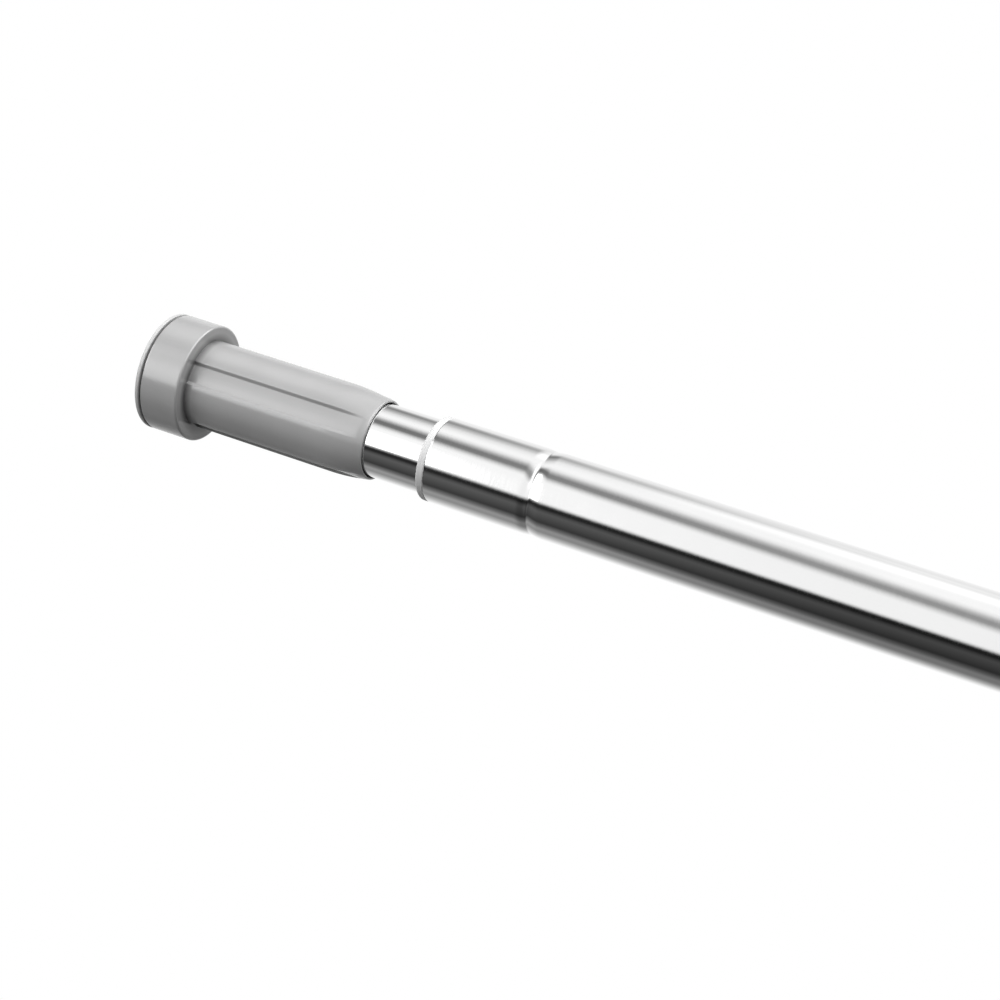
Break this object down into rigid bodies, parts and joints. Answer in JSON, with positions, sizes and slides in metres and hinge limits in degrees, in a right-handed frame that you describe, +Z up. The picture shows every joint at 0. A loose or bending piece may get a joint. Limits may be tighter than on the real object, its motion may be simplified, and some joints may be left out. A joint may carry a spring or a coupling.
{
  "type": "pull up bar",
  "caption": "Telescopic doorway pull-up bar: a chrome main tube that turns to screw out a smaller tube at each side, each with a lobed plastic end fitting and a round wall pad.",
  "frame": {"origin": "middle of the bar, on its axis", "axes": "+X along the bar to its right end, +Z up, -Y towards the person who uses it"},
  "size_m": [0.7398, 0.045, 0.045],
  "materials": {
    "chrome": "polished",
    "fitting": "satin gloss, moulded",
    "pad": "smooth",
    "bush": "milky, translucent",
    "steel": "zinc plated",
    "spring_steel": "oiled",
    "brass": "turned",
    "anchor": "turned",
    "inner_plastic": "moulded"
  },
  "bodies": {
    "left_end": {"left_end_fitting": "fitting", "left_wall_pad": "pad", "left_pressure_disc": "steel", "left_end_screw": "steel", "left_screw_washer": "steel", "left_tube_plug": "inner_plastic", "left_plug_pin": "steel", "left_inner_tube": "chrome", "left_drive_nut": "brass", "left_nut_pins": "steel"},
    "left_bush": {"left_guide_bush": "bush"},
    "middle": {"main_tube": "chrome", "centre_anchor": "anchor", "anchor_pins": "steel", "left_spindle": "steel", "left_stop_washer": "steel", "left_stop_circlip": "spring_steel", "right_spindle": "steel", "right_stop_washer": "steel", "right_stop_circlip": "spring_steel"},
    "right_bush": {"right_guide_bush": "bush"},
    "right_end": {"right_end_fitting": "fitting", "right_wall_pad": "pad", "right_pressure_disc": "steel", "right_end_screw": "steel", "right_screw_washer": "steel", "right_tube_plug": "inner_plastic", "right_plug_pin": "steel", "right_inner_tube": "chrome", "right_drive_nut": "brass", "right_nut_pins": "steel"}
  },
  "joints": [
    {"name": "left_travel", "type": "slide", "parent": "left_end", "child": "left_bush", "axis": [1, 0, 0], "range_m": [-0.02, 0.13]},
    {"name": "bar_turn", "type": "hinge", "parent": "left_bush", "child": "middle", "pos_m": [-0.25, 0, 0], "axis": [1, 0, 0], "range_deg": [-1440, 9360]},
    {"name": "right_bush_turn", "type": "hinge", "parent": "middle", "child": "right_bush", "pos_m": [0.25, 0, 0], "axis": [1, 0, 0], "range_deg": [-9360, 1440]},
    {"name": "right_travel", "type": "slide", "parent": "right_bush", "child": "right_end", "axis": [1, 0, 0], "range_m": [-0.02, 0.13]}
  ],
  "couplings": [
    {"joint": "left_travel", "follows": "bar_turn", "m_per_rad": 0.00079577},
    {"joint": "right_bush_turn", "follows": "bar_turn", "ratio": -1},
    {"joint": "right_travel", "follows": "bar_turn", "m_per_rad": 0.00079577}
  ]
}
